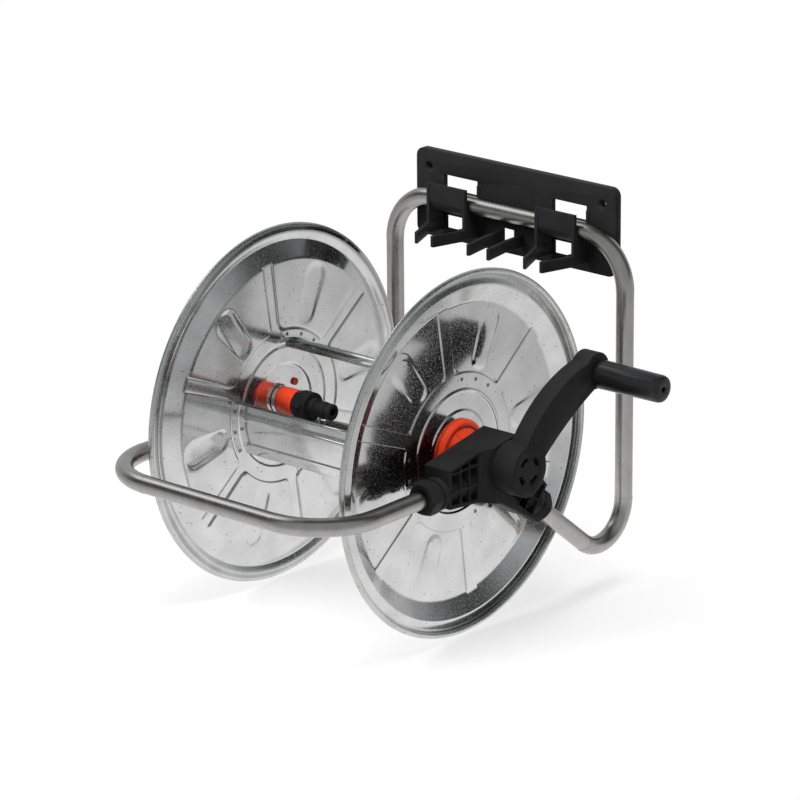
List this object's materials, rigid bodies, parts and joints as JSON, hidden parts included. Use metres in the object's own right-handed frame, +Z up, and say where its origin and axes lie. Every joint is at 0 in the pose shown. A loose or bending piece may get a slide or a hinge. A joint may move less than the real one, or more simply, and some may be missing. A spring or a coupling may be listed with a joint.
{
  "type": "wall mounted hose reel",
  "caption": "Wall mounted garden hose reel: bent tube frame hung in a hooked wall plate, with a crank driven drum of pressed sheet discs between moulded bearing blocks.",
  "frame": {"origin": "on the wall, midway between the two screw holes of the wall plate", "axes": "+X to the crank side, +Y into the wall, +Z up"},
  "size_m": [0.512, 0.4792, 0.4025],
  "materials": {
    "black_moulding": "satin moulded black",
    "grip_moulding": "glossy moulded black",
    "orange_moulding": "moulded orange red",
    "tube_steel": "drawn galvanised tube",
    "zinc_sheet": "bright galvanised sheet",
    "pin_steel": "turned steel",
    "seal_rubber": "moulded rubber"
  },
  "bodies": {
    "bracket": {"wall_bracket": "black_moulding"},
    "frame": {"rear_tube": "tube_steel", "front_tube": "tube_steel", "block_right": "black_moulding", "block_left": "black_moulding", "clamp_nuts_right": "black_moulding", "clamp_nuts_left": "black_moulding"},
    "reel": {"disc_right": "zinc_sheet", "disc_left": "zinc_sheet", "stave_upper": "zinc_sheet", "stave_front": "zinc_sheet", "stave_rear": "zinc_sheet", "drive_hub": "orange_moulding", "water_hub": "orange_moulding", "outlet_body": "orange_moulding", "outlet_clip": "zinc_sheet", "outlet_nut": "black_moulding", "outlet_nipple": "black_moulding", "crank_arm": "black_moulding", "grip_pin": "pin_steel", "journal_seal": "seal_rubber"},
    "grip": {"crank_grip": "grip_moulding"},
    "inlet": {"inlet_swivel": "black_moulding", "inlet_nipple": "black_moulding"}
  },
  "joints": [
    {"name": "frame_lift", "type": "slide", "parent": "bracket", "child": "frame", "axis": [0, 0, 1], "range_m": [0, 0.03]},
    {"name": "reel_spin", "type": "hinge", "parent": "frame", "child": "reel", "pos_m": [0, -0.237, -0.199], "axis": [1, 0, 0], "continuous": true},
    {"name": "grip_spin", "type": "hinge", "parent": "reel", "child": "grip", "pos_m": [0.245, -0.12859, -0.12725], "axis": [1, 0, 0], "continuous": true},
    {"name": "inlet_turn", "type": "hinge", "parent": "frame", "child": "inlet", "pos_m": [-0.2, -0.237, -0.199], "axis": [1, 0, 0], "continuous": true}
  ]
}
